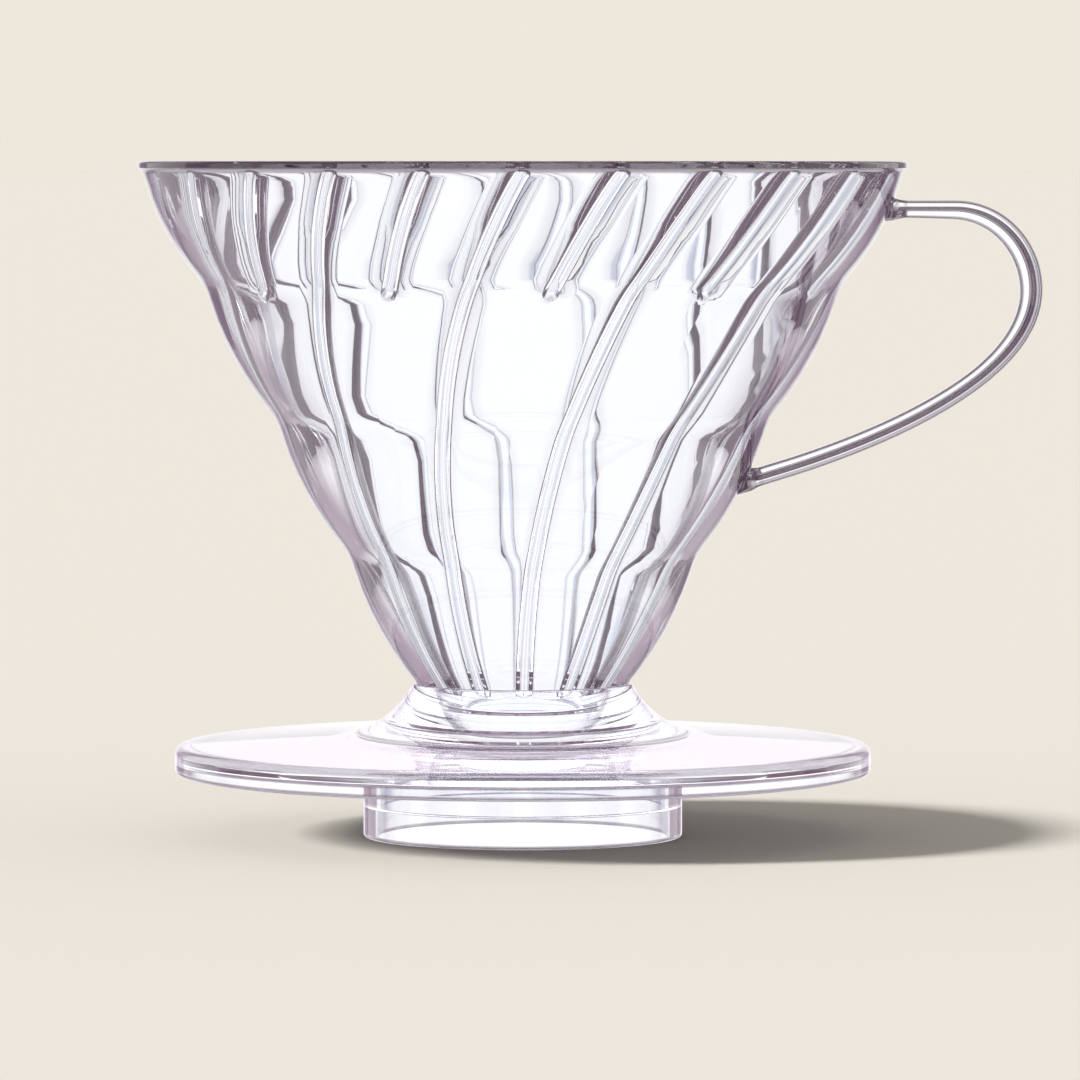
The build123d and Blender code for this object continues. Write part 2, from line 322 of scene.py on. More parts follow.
# Rows of the inner wall as (from, to, how many). They are closest where ribs start and end.
ROWS_BELOW_MOUTH = ((0.6 * MM, 3.4 * MM, 13), (4.6 * MM, 16 * MM, 10), (16.6 * MM, 20.5 * MM, 9))
ROWS_TO_NECK = (22.3 * MM, 2 * MM, 39)
ROWS_TO_OUTLET = (1.6 * MM, 0.6 * MM, 9)
# Outline points from the last of those rows to the spigot's foot.
SPIGOT_POINTS = 40
# Outside, the columns even out over one part in so many of the height, at each end.
EVEN_OUT = 6


def funnel_corners(f):
    """Corners (radius, height) between the tiers, from the mouth to the neck."""
    top_radius, top = MOUTH_RADIUS - f.rim_lip, MOUTH_HEIGHT - f.rim_lip_height
    corners = [(top_radius, top)]
    done = 0.0
    for share in TIER_SHARES:
        done += share
        corners.append((top_radius + (f.neck_radius - top_radius) * done,
                        top + (NECK_HEIGHT - top) * done))
    return corners


def tier_points(f):
    """Outline (radius, height, rounding) of the swelling tiers, mouth to neck. The slope off the
    chord runs evenly from one side to the other along a tier, and swings back in each valley."""
    points = []
    corners = funnel_corners(f)
    valley = f.valley
    for k, (start, end) in enumerate(zip(corners, corners[1:])):
        start, end = Vector(start), Vector(end)
        chord = end - start
        outward = Vector((-chord.y, chord.x)).normalized()
        closes = k < len(corners) - 2
        high = 1 - (valley if closes else 0.0)
        steps = np.concatenate([[0, valley / 3, valley * 2 / 3], np.linspace(valley, high, TIER_STEPS + 1),
                                [1 - valley * 2 / 3, 1 - valley / 3] if closes else []])
        for along in steps if closes else steps[:-1]:
            if along < valley:
                swell = along ** 2 / (2 * valley)
            elif along > high:
                swell = (1 - along) ** 2 / (2 * valley)
            else:
                middle, half = (valley + high) / 2, (high - valley) / 2
                crown = (half ** 2 - (along - middle) ** 2) / (2 * half)
                swell = crown + valley / 2 * (1 if closes else (high - along) / (high - valley))
            # Half way down a tier, swell is a quarter.
            spot = start + chord * along + outward * 4 * f.tier_bulge * swell
            points.append((spot.x, spot.y, 0.0))
    return points + [(f.neck_radius, NECK_HEIGHT, NECK_ROUND)]


def outer_radius(f, level):
    """The funnel's outside radius at a height."""
    outline = [(p[1], p[0]) for p in reversed(tier_points(f))]
    return np.interp(level, [z for z, _ in outline], [r for _, r in outline])


def inner_radius(f, level):
    """The smooth inner wall's radius at a height."""
    return MOUTH_RADIUS - f.rim_wall - (MOUTH_HEIGHT - level) * math.tan(f.half_angle)


def rib_turn(r, level):
    """Azimuth of a rib's line at a height, from where it starts at the mouth."""
    top = MOUTH_HEIGHT - r.below_rim
    left_to_go = np.clip((level - NECK_HEIGHT) / (top - NECK_HEIGHT), 0, None)
    return -r.twist * (1 - left_to_go ** r.easing)


# Columns over half a rib, as widths off its line, and then over the clear wall beside it.
ACROSS = np.array([0, 0.36, 0.68, 0.89, 1.02, 1.085, 1.14, 1.2, 1.3]) * MM
CLEAR_STEPS = 2
MOST_FOR_RIB = 0.8


def columns_at(r, radius):
    """Azimuths across one rib's share of the wall, close together where the rib's sides are."""
    half_share = math.pi / (2 * r.long_ribs)
    room = half_share * radius
    across = ACROSS * min(1.0, MOST_FOR_RIB * room / ACROSS[-1])
    clear = np.linspace(across[-1], room, CLEAR_STEPS + 1)[1:]
    one_side = np.concatenate([across, clear]) / radius
    return np.concatenate([-one_side[:0:-1], one_side[:-1]])


def cone_grid(f, r):
    """The funnel with a smooth wall, its columns laid along the ribs' lines, and which rows are
    the inner wall."""
    outlet_top = MOUTH_HEIGHT - (MOUTH_RADIUS - f.rim_wall - f.outlet_radius) / math.tan(f.half_angle)
    spigot_bore = f.spigot_radius - f.spigot_wall
    lip_foot = outlet_top - f.outlet_lip
    bands = [(MOUTH_HEIGHT - start, MOUTH_HEIGHT - end, rows) for start, end, rows in ROWS_BELOW_MOUTH]
    start, end, rows = ROWS_TO_NECK
    bands.append((MOUTH_HEIGHT - start, NECK_HEIGHT + end, rows))
    start, end, rows = ROWS_TO_OUTLET
    bands.append((NECK_HEIGHT + start, outlet_top + end, rows))
    wall_levels = np.concatenate([np.linspace(*band) for band in bands])
    wall = [(inner_radius(f, z), z, 0.0) for z in wall_levels]
    mouth = [(MOUTH_RADIUS, MOUTH_HEIGHT - f.rim_lip_height, LIP_ROUND),
             (MOUTH_RADIUS, MOUTH_HEIGHT, f.rim_round),
             (MOUTH_RADIUS - f.rim_wall, MOUTH_HEIGHT, f.rim_round)]
    outlet = [(f.outlet_radius, outlet_top, OUTLET_ROUND), (f.outlet_radius, lip_foot, OUTLET_ROUND),
              (spigot_bore, lip_foot, OUTLET_ROUND), (spigot_bore, SPIGOT_FOOT, OUTLET_ROUND),
              (f.spigot_radius, SPIGOT_FOOT, OUTLET_ROUND),
              (f.spigot_radius, NECK_HEIGHT + SPIGOT_GAP, LIP_ROUND)]
    outline = np.array(rounded(mouth + wall + outlet + tier_points(f)[::-1]))

    # Azimuth of every column at every row: along the ribs inside, and evened out on the outside.
    radius, level = outline[:, 0], outline[:, 1]
    first = int(np.argmin(np.abs(level - wall_levels[0]) + np.abs(radius - wall[0][0])))
    last = int(np.argmin(np.abs(level - wall_levels[-1]) + np.abs(radius - wall[-1][0])))
    shares = 2 * r.long_ribs
    share = 2 * math.pi / shares
    per_share = len(columns_at(r, radius[first]))
    even = (np.arange(per_share) - per_share // 2) / per_share * share
    azimuths = np.empty((len(outline), shares * per_share))
    low, high = rib_turn(r, wall_levels[-1]), rib_turn(r, wall_levels[0])
    for row, z in enumerate(level):
        if row <= last:
            across = columns_at(r, radius[max(row, first)])
            turn = rib_turn(r, min(z, wall_levels[0]))
        elif row <= last + SPIGOT_POINTS:
            across, turn = columns_at(r, radius[last]), low
        else:
            climb = (z - NECK_HEIGHT) / (MOUTH_HEIGHT - NECK_HEIGHT)
            ease = np.clip(climb * EVEN_OUT, 0, 1) * np.clip((1 - climb) * EVEN_OUT, 0, 1)
            at_end = columns_at(r, radius[last] if climb < 0.5 else radius[first])
            across, turn = at_end * (1 - ease) + even * ease, low + (high - low) * climb
        for k in range(shares):
            azimuths[row, k * per_share:(k + 1) * per_share] = across + turn + k * share
    inner = np.zeros(azimuths.shape)
    inner[first:last + 1] = 1.0
    return turned_points(outline, azimuths), inner


# ---------------------------------------------------------------- the spiral ribs, as Geometry Nodes

class MathNodes:
    """Adds Math nodes to a tree: m.add(a, b) is one that adds. Sockets and numbers are both taken."""

    def __init__(self, tree):
        self.tree = tree

    def __getattr__(self, operation):
        def add_node(*values):
            node = self.tree.nodes.new("ShaderNodeMath")
            node.operation = operation.upper()
            for socket, value in zip(node.inputs, values):
                if isinstance(value, (int, float)):
                    socket.default_value = value
                else:
                    self.tree.links.new(value, socket)
            return node.outputs[0]
        return add_node


def rib_tree():
    """Raises spiral ribs on a funnel's inner wall. Each point of the wall finds how far it is from
    the nearest rib's line, round the line's ends too, and stands off the wall by the rib's
    section there."""
    tree = bpy.data.node_groups.new("Spiral ribs", "GeometryNodeTree")
    face = tree.interface
    face.new_socket("Geometry", in_out="INPUT", socket_type="NodeSocketGeometry")
    for name in ("Rib Radius", "Lift", "Fillet", "Rib Top", "Neck", "Rib Foot", "Short Drop",
                 "Twist", "Easing", "Half Angle", "Flank", "Flank Width"):
        face.new_socket(name, in_out="INPUT", socket_type="NodeSocketFloat")
    face.new_socket("Long Ribs", in_out="INPUT", socket_type="NodeSocketInt")
    face.new_socket("Material", in_out="INPUT", socket_type="NodeSocketMaterial")
    face.new_socket("Geometry", in_out="OUTPUT", socket_type="NodeSocketGeometry")
    given = tree.nodes.new("NodeGroupInput").outputs
    m = MathNodes(tree)

    def link(a, b):
        tree.links.new(a, b)

    place = tree.nodes.new("ShaderNodeSeparateXYZ")
    link(tree.nodes.new("GeometryNodeInputPosition").outputs[0], place.inputs[0])
    x, y, z = place.outputs
    radius = m.sqrt(m.add(m.multiply(x, x), m.multiply(y, y)))
    azimuth = m.arctan2(y, x)
    slope_cos = m.cosine(given["Half Angle"])
    slope_sin = m.sine(given["Half Angle"])
    run = m.subtract(given["Rib Top"], given["Neck"])
    left_to_go = m.maximum(m.divide(m.subtract(z, given["Neck"]), run), 0.0)
    turn = m.multiply(given["Twist"], m.subtract(m.power(left_to_go, given["Easing"]), 1.0))
    from_line = m.subtract(azimuth, turn)
    # How far the rib's line leans off the straight way down the wall.
    still = m.power(left_to_go, m.subtract(given["Easing"], 1.0))
    lean_tan = m.divide(m.multiply(m.multiply(given["Twist"], given["Easing"]), still), run)
    lean_tan = m.multiply(m.multiply(lean_tan, radius), slope_cos)
    lean = m.arctangent(lean_tan)
    lean_cos, lean_sin = m.cosine(lean), m.sine(lean)
    pitch = m.divide(2 * math.pi, given["Long Ribs"])
    half_pitch = m.divide(pitch, 2.0)
    minus_half = m.multiply(half_pitch, -1.0)

    def distance(offset, foot):
        """From a point of the wall to the nearest of a ring of lines between the rib top and foot."""
        turned_off = m.subtract(from_line, offset)
        aside = m.multiply(m.wrap(turned_off, half_pitch, minus_half), radius)
        across = m.multiply(aside, lean_cos)
        slip = m.multiply(aside, lean_sin)
        steep = m.multiply(slope_cos, lean_cos)
        rise = m.divide(m.subtract(z, given["Rib Top"]), steep)
        fall = m.divide(m.subtract(foot, z), steep)
        above = m.maximum(m.add(rise, slip), 0.0)
        below = m.maximum(m.subtract(fall, slip), 0.0)
        squares = [m.multiply(side, side) for side in (across, above, below)]
        return m.sqrt(m.add(m.add(squares[0], squares[1]), squares[2]))

    to_long = distance(0.0, given["Rib Foot"])
    to_short = distance(half_pitch, m.subtract(given["Rib Top"], given["Short Drop"]))
    away = m.minimum(to_long, to_short)

    # The section: a round crest that runs into the wall by a fillet on each side.
    rad, lift, fil = given["Rib Radius"], given["Lift"], given["Fillet"]
    both = m.add(rad, fil)
    sink = m.subtract(fil, lift)
    foot_at = m.sqrt(m.subtract(m.multiply(both, both), m.multiply(sink, sink)))
    meet_at = m.divide(m.multiply(rad, foot_at), both)
    crest = m.subtract(m.multiply(rad, rad), m.multiply(away, away))
    crest = m.add(lift, m.sqrt(m.maximum(crest, 0.0)))
    in_fillet = m.maximum(m.subtract(foot_at, away), 0.0)
    hollow = m.subtract(m.multiply(fil, fil), m.multiply(in_fillet, in_fillet))
    hollow = m.subtract(fil, m.sqrt(m.maximum(hollow, 0.0)))
    on_crest = m.less_than(away, meet_at)
    crest = m.multiply(crest, on_crest)
    hollow = m.multiply(hollow, m.subtract(1.0, on_crest))
    stands = m.add(crest, hollow)
    mask = tree.nodes.new("GeometryNodeInputNamedAttribute")
    mask.data_type = "FLOAT"
    mask.inputs["Name"].default_value = "inner_wall"
    stands = m.multiply(stands, mask.outputs["Attribute"])

    # Painted shade: a dark line is painted along the flanks of the ribs, added to the outline painted
    # already.
    off_flank = m.absolute(m.subtract(away, given["Flank"]))
    flank = m.subtract(1.0, m.divide(off_flank, given["Flank Width"]))
    flank = m.multiply(m.maximum(flank, 0.0), mask.outputs["Attribute"])
    marked = tree.nodes.new("GeometryNodeInputNamedAttribute")
    marked.data_type = "FLOAT"
    marked.inputs["Name"].default_value = "turned_edge"
    keep = tree.nodes.new("GeometryNodeStoreNamedAttribute")
    keep.data_type, keep.domain = "FLOAT", "POINT"
    keep.inputs["Name"].default_value = "turned_edge"
    link(m.maximum(flank, marked.outputs["Attribute"]), keep.inputs["Value"])

    off_wall = tree.nodes.new("ShaderNodeCombineXYZ")
    inward = m.multiply(m.multiply(stands, slope_cos), -1.0)
    link(m.multiply(inward, m.cosine(azimuth)), off_wall.inputs[0])
    link(m.multiply(inward, m.sine(azimuth)), off_wall.inputs[1])
    link(m.multiply(stands, slope_sin), off_wall.inputs[2])
    move = tree.nodes.new("GeometryNodeSetPosition")
    real = tree.nodes.new("GeometryNodeRealizeInstances")
    paint = tree.nodes.new("GeometryNodeSetMaterial")
    link(given["Geometry"], keep.inputs["Geometry"])
    link(keep.outputs[0], move.inputs["Geometry"])
    link(off_wall.outputs[0], move.inputs["Offset"])
    link(move.outputs[0], real.inputs[0])
    link(real.outputs[0], paint.inputs["Geometry"])
    link(given["Material"], paint.inputs["Material"])
    link(paint.outputs[0], tree.nodes.new("NodeGroupOutput").inputs[0])
    return tree


def set_inputs(modifier, values):
    """Sets a Geometry Nodes modifier's inputs, by the identifiers of the sockets so named."""
    for item in modifier.node_group.interface.items_tree:
        if item.in_out == "INPUT" and item.name in values:
            modifier[item.identifier] = values[item.name]


def settle(piece):
    """Turns what the piece's modifiers make into its own plain mesh."""
    bpy.context.view_layer.update()
    evaluated = piece.evaluated_get(bpy.context.evaluated_depsgraph_get())
    mesh = bpy.data.meshes.new_from_object(evaluated)
    piece.modifiers.clear()
    piece.data = mesh
    mesh.name = piece.name
    return piece


def stand_for(piece, node):
    """The piece is attached to the body, and the CAD node it stands for is hidden."""
    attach(piece, BODY)
    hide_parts(node)


# ---------------------------------------------------------------- the handle

# Each root has ROOT_POINTS over its first ROOT_RUN. The loop's own points keep clear of them.
ROOT_POINTS = 9
ROOT_RUN = 3.0 * MM
TOP_CLEAR = 3.6 * MM
BOTTOM_CLEAR = 3.4 * MM
# The rib's inner corners, the pad's middle off the line, and how square the pad is.
INNER_ROUND = 0.3 * MM
PAD_MIDDLE = 0.2 * MM
PAD_SQUARE = 7
# The rib's swell runs over this share of the loop, and the ends stand this far off the funnel.
SWELL_SHARE = 0.55
ROOT_GAP = 0.05 * MM


def spread(a, b, most=0.45 * MM):
    """Points from a towards b, hardly further apart than most."""
    pieces = max(1, math.ceil(np.linalg.norm(b - a) / most - 0.3))
    return a + (b - a) * (np.arange(pieces) / pieces)[:, None]


def smoothstep(value):
    """Runs from 0 to 1 as value does, level at both ends."""
    value = np.clip(value, 0, 1)
    return value * value * (3 - 2 * value)


def handle_line(f, h):
    """Points and headings of the line between the band and its rib, in (x, z)."""
    upper, lower = MOUTH_HEIGHT - h.top_drop, MOUTH_HEIGHT - h.bottom_drop
    out = np.array([math.cos(h.root_slope), math.sin(h.root_slope)])
    start = np.array([outer_radius(f, upper), upper])
    bend = np.array([MOUTH_RADIUS + h.straight, upper])
    outermost = np.array([HANDLE_END - h.band, upper - h.bend_drop])
    end = np.array([outer_radius(f, lower), lower])
    near_root = np.linspace(0, 1, ROOT_POINTS)[:, None]
    run = np.concatenate([start + near_root * np.array([ROOT_RUN, 0]),
                          np.linspace(start + [TOP_CLEAR, 0], bend, 10)[:-1]])
    first = bezier(bend, bend + [h.bend_pull, 0], outermost + [0, h.bend_pull], outermost, 28)[:-1]
    second = bezier(outermost, outermost - [0, h.return_pull], end + out * h.end_pull, end, 60)
    keep = np.linalg.norm(second - end, axis=1) > BOTTOM_CLEAR
    last = end + near_root[::-1] * out * ROOT_RUN
    points = np.concatenate([run, first, second[keep], last])
    ahead = np.gradient(points, axis=0)
    ahead[:ROOT_POINTS], ahead[-ROOT_POINTS:] = (1, 0), -out
    return points, ahead / np.linalg.norm(ahead, axis=1)[:, None]


def handle_section(h, depth, pad):
    """Closed outline (off the line, across) of the T section, grown into a pad by pad, 0 to 1."""
    half, rib, small, edge = h.width / 2, h.rib_width / 2, INNER_ROUND, h.edge_round
    corners = [(h.band, -half, edge), (h.band, half, edge), (0, half, edge), (0, rib, small),
               (-depth, rib, edge), (-depth, -rib, edge), (0, -rib, small), (0, -half, edge)]
    section = np.array(rounded(corners, math.radians(18)))
    section = np.concatenate([spread(a, b) for a, b in zip(section, np.roll(section, -1, axis=0))])
    # The pad is a rounded block with a point on it for each point of the section.
    middle = np.array([PAD_MIDDLE, 0.0])
    arm = section - middle
    arm /= np.linalg.norm(arm, axis=1)[:, None]
    tall = np.where(arm[:, 0] > 0, h.band - middle[0], depth + middle[0]) + h.flare
    wide = half + h.flare
    reach = np.abs(arm[:, 0] / tall) ** PAD_SQUARE + np.abs(arm[:, 1] / wide) ** PAD_SQUARE
    reach = reach ** (-1 / PAD_SQUARE)
    return section * (1 - pad) + (middle + arm * reach[:, None]) * pad


class DRIPPER_OT_handle(bpy.types.Operator):
    """Build the loop handle"""

    bl_idname = "dripper.handle"
    bl_label = "Handle"

    def execute(self, context):
        f, h = context.scene.dripper_funnel, context.scene.dripper_handle
        points, ahead = handle_line(f, h)
        travel = np.concatenate([[0], np.cumsum(np.linalg.norm(np.diff(points, axis=0), axis=1))])
        whole = travel[-1]
        rows = []
        for spot, way, done in zip(points, ahead, travel):
            pad = smoothstep(1 - min(done, whole - done) / h.flare_length)
            swell = math.sin(math.pi * min(1.0, done / whole / SWELL_SHARE)) ** 2
            section = handle_section(h, h.rib_depth, pad)
            section[:, 0] -= h.rib_swell * swell * np.clip(-section[:, 0] / h.rib_depth, 0, 1)
            off = np.array([-way[1], way[0]])
            xz = spot + section[:, :1] * off
            rows.append(np.stack([xz[:, 0], section[:, 1], xz[:, 1]], -1))
        rows = np.array(rows)
        # Both ends are laid on the funnel's outside, ROOT_GAP off it, and capped by shrinking rings.
        ways = np.stack([ahead[:, 0], np.zeros(len(ahead)), ahead[:, 1]], -1)
        top = self.cap(f, rows[0], ways[0])
        bottom = self.cap(f, rows[-1], -ways[-1])
        grid = np.concatenate([top[::-1], rows[1:-1], bottom])
        ring_count, around = grid.shape[:2]
        faces = []
        for i in range(ring_count - 1):
            for j in range(around):
                k = (j + 1) % around
                here, after = i * around, (i + 1) * around
                faces.append((here + j, here + k, after + k, after + j))
        piece = mesh_object("handle_loop", grid.reshape(-1, 3), faces, wall_plastic())
        piece.visible_shadow = False
        stand_for(piece, "handle")
        return {"FINISHED"}

    def cap(self, f, ring, outward):
        """Rings from the section's edge to its centre, each slid along the handle onto the funnel."""
        centre = ring.mean(axis=0)
        rings = []
        for shrink in (1.0, 0.97, 0.8, 0.6, 0.4, 0.2, 0.0):
            spots = centre + (ring - centre) * shrink
            for _ in range(12):
                over = np.hypot(spots[:, 0], spots[:, 1]) - (outer_radius(f, spots[:, 2]) + ROOT_GAP)
                spots = spots - outward * (over / outward[0])[:, None]
            rings.append(spots)
        return np.array(rings)


# ---------------------------------------------------------------- the plastic

# How much of the painted outline's dark colour (painted shade) is mixed in where it is full.
OUTLINE_SHARE = 0.85
# A ray that has met more walls than this has come to its end, and so has one mirrored this often. Such a ray
# takes a painted glow.
LAST_WALL = 10.5
LAST_MIRRORING = 3.5
# A cut-off ray mirrored this often inside the plastic takes the material's painted glow colour in full; one
# mirrored less takes more of the pale through colour.
FULL_GLOW_AFTER = 3.0


def moulding_marks():
    """Faint flow haze and waviness that a clear moulding has."""
    name = "Moulding marks"
    if name in bpy.data.node_groups:
        return bpy.data.node_groups[name]
    group = bpy.data.node_groups.new(name, "ShaderNodeTree")
    group.interface.new_socket("Vector", in_out="INPUT", socket_type="NodeSocketVector")
    for socket in ("Haze", "Height"):
        group.interface.new_socket(socket, in_out="OUTPUT", socket_type="NodeSocketFloat")
    given = group.nodes.new("NodeGroupInput")
    result = group.nodes.new("NodeGroupOutput")
    flow = group.nodes.new("ShaderNodeTexNoise")
    flow.inputs["Scale"].default_value = 90.0
    flow.inputs["Detail"].default_value = 3.0
    wave = group.nodes.new("ShaderNodeTexNoise")
    wave.inputs["Scale"].default_value = 45.0
    wave.inputs["Detail"].default_value = 1.0
    group.links.new(given.outputs["Vector"], flow.inputs["Vector"])
    group.links.new(given.outputs["Vector"], wave.inputs["Vector"])
    haze = group.nodes.new("ShaderNodeMapRange")
    haze.inputs["From Min"].default_value = 0.35
    haze.inputs["From Max"].default_value = 0.75
    haze.inputs["To Min"].default_value = 0.0
    haze.inputs["To Max"].default_value = 0.03
    group.links.new(flow.outputs["Fac"], haze.inputs["Value"])
    group.links.new(haze.outputs["Result"], result.inputs["Haze"])
    group.links.new(wave.outputs["Fac"], result.inputs["Height"])
    return group


def clear_plastic(name, trapped):
    """Clear styrene plastic: white seen through. Painted shade: greyed mauve is painted into its colour where
    it is seen edge on, and a dark outline where the surface turns fast. A ray cut off after many walls or
    mirrorings takes a painted glow in the colour given."""
    if name in bpy.data.materials:
        return bpy.data.materials[name]
    look = bpy.context.scene.dripper_plastic
    material = bpy.data.materials.new(name)
    material.use_nodes = True
    nodes, links = material.node_tree.nodes, material.node_tree.links
    shader = nodes["Principled BSDF"]
    shader.inputs["Transmission Weight"].default_value = 1.0
    shader.inputs["IOR"].default_value = look.ior
    shader.inputs["Metallic"].default_value = 0.0
    # Painted shade: greyed mauve is mixed into the colour where the surface is seen edge on, sooner where it
    # is seen from inside the plastic.
    facing = nodes.new("ShaderNodeLayerWeight")
    facing.inputs["Blend"].default_value = 0.5
    side = nodes.new("ShaderNodeNewGeometry")
    edge = nodes.new("ShaderNodeMix")
    links.new(side.outputs["Backfacing"], edge.inputs["Factor"])
    for socket, low, high in (("A", look.edge_starts, look.edge_full),
                              ("B", look.inside_starts, look.inside_full)):
        ramp = nodes.new("ShaderNodeMapRange")
        ramp.interpolation_type = "SMOOTHSTEP"
        ramp.inputs["From Min"].default_value = low
        ramp.inputs["From Max"].default_value = high
        links.new(facing.outputs["Facing"], ramp.inputs["Value"])
        links.new(ramp.outputs["Result"], edge.inputs[socket])
    tint = nodes.new("ShaderNodeMix")
    tint.data_type = "RGBA"
    tint.inputs["A"].default_value = (*look.clear, 1)
    tint.inputs["B"].default_value = (*look.edge, 1)
    m = MathNodes(material.node_tree)
    links.new(edge.outputs["Result"], tint.inputs["Factor"])
    # Painted shade: a dark outline is mixed in where the mesh's outline mask is set.
    turned_edge = nodes.new("ShaderNodeAttribute")
    turned_edge.attribute_name = "turned_edge"
    drawn = nodes.new("ShaderNodeMix")
    drawn.data_type = "RGBA"
    drawn.inputs["B"].default_value = (*look.outline, 1)
    links.new(m.multiply(turned_edge.outputs["Fac"], OUTLINE_SHARE), drawn.inputs["Factor"])
    links.new(tint.outputs["Result"], drawn.inputs["A"])
    links.new(drawn.outputs["Result"], shader.inputs["Base Color"])
    # Painted glow: a ray that has met too many walls or mirrorings is given emitted light here, though the
    # plastic is no lamp, pale after few mirrorings and in the material's glow colour after many.
    path = nodes.new("ShaderNodeLightPath")
    turns = m.minimum(m.divide(path.outputs["Glossy Depth"], FULL_GLOW_AFTER), 1.0)
    late = m.maximum(m.greater_than(path.outputs["Ray Depth"], LAST_WALL),
                     m.greater_than(path.outputs["Glossy Depth"], LAST_MIRRORING))
    rest, glow = nodes.new("ShaderNodeMix"), nodes.new("ShaderNodeMix")
    rest.data_type = glow.data_type = "RGBA"
    rest.inputs["A"].default_value = (*look.through, 1)
    rest.inputs["B"].default_value = (*trapped, 1)
    links.new(turns, rest.inputs["Factor"])
    glow.inputs["A"].default_value = (0, 0, 0, 1)
    links.new(rest.outputs["Result"], glow.inputs["B"])
    links.new(late, glow.inputs["Factor"])
    links.new(glow.outputs["Result"], shader.inputs["Emission Color"])
    shader.inputs["Emission Strength"].default_value = 1.0
    where = nodes.new("ShaderNodeTexCoord")
    marks = nodes.new("ShaderNodeGroup")
    marks.node_tree = moulding_marks()
    links.new(where.outputs["Object"], marks.inputs["Vector"])
    links.new(marks.outputs["Haze"], shader.inputs["Roughness"])
    bump = nodes.new("ShaderNodeBump")
    bump.inputs["Strength"].default_value = 0.04
    bump.inputs["Distance"].default_value = 0.2 * MM
    links.new(marks.outputs["Height"], bump.inputs["Height"])
    links.new(bump.outputs["Normal"], shader.inputs["Normal"])
    return material


def wall_plastic():
    """The plastic of the funnel and the handle: its cut-off rays take a dark painted glow, a shaded copy of
    the plate's plastic.
    """
    return clear_plastic("Clear plastic", bpy.context.scene.dripper_plastic.trapped)


def plate_plastic():
    """The plastic of the plate and the ring: its cut-off rays take a pale painted glow, so it stays white, a
    lit copy of the funnel's plastic.
    """
    return clear_plastic("Clear plastic, flat", bpy.context.scene.dripper_plastic.flat_trapped)


# ---------------------------------------------------------------- operators

class DRIPPER_OT_cone(bpy.types.Operator):
    """Build the tiered funnel with its spiral ribs"""

    bl_idname = "dripper.cone"
    bl_label = "Cone"

    def execute(self, context):
        f, r = context.scene.dripper_funnel, context.scene.dripper_ribs
        grid, inner = cone_grid(f, r)
        verts, faces = wrapped_grid(grid)
        mesh = bpy.data.meshes.new("ribbed_cone")
        mesh.from_pydata(verts.tolist(), [], faces)
        mask = mesh.attributes.new("inner_wall", "FLOAT", "POINT")
        mask.data.foreach_set("value", inner.reshape(-1))
        # Painted shade: the dark outline is painted round the mouth's rounded top edge as well.
        edge = mesh.attributes.new("turned_edge", "FLOAT", "POINT")
        over = (verts[:, 2] - (MOUTH_HEIGHT - f.rim_lip_height)) / f.rim_round + 1
        edge.data.foreach_set("value", np.clip(over, 0, 1).astype(np.float32))
        piece = bpy.data.objects.new("ribbed_cone", mesh)
        context.scene.collection.objects.link(piece)
        ribs = piece.modifiers.new("Spiral ribs", "NODES")
        ribs.node_group = rib_tree()
        set_inputs(ribs, {
            "Rib Radius": r.radius, "Lift": r.lift, "Fillet": r.fillet,
            "Rib Top": MOUTH_HEIGHT - r.below_rim, "Neck": NECK_HEIGHT,
            "Rib Foot": NECK_HEIGHT - r.past_neck, "Short Drop": r.short_drop,
            "Flank": r.radius - r.flank_in, "Flank Width": r.flank_width,
            "Twist": r.twist, "Easing": r.easing, "Half Angle": f.half_angle,
            "Long Ribs": r.long_ribs, "Material": wall_plastic()})
        settle(piece)
        bm = bmesh.new()
        bm.from_mesh(piece.data)
        face_outwards(bm)
        bm.to_mesh(piece.data)
        bm.free()
        piece.visible_shadow = False
        stand_for(piece, "cone")
        return {"FINISHED"}


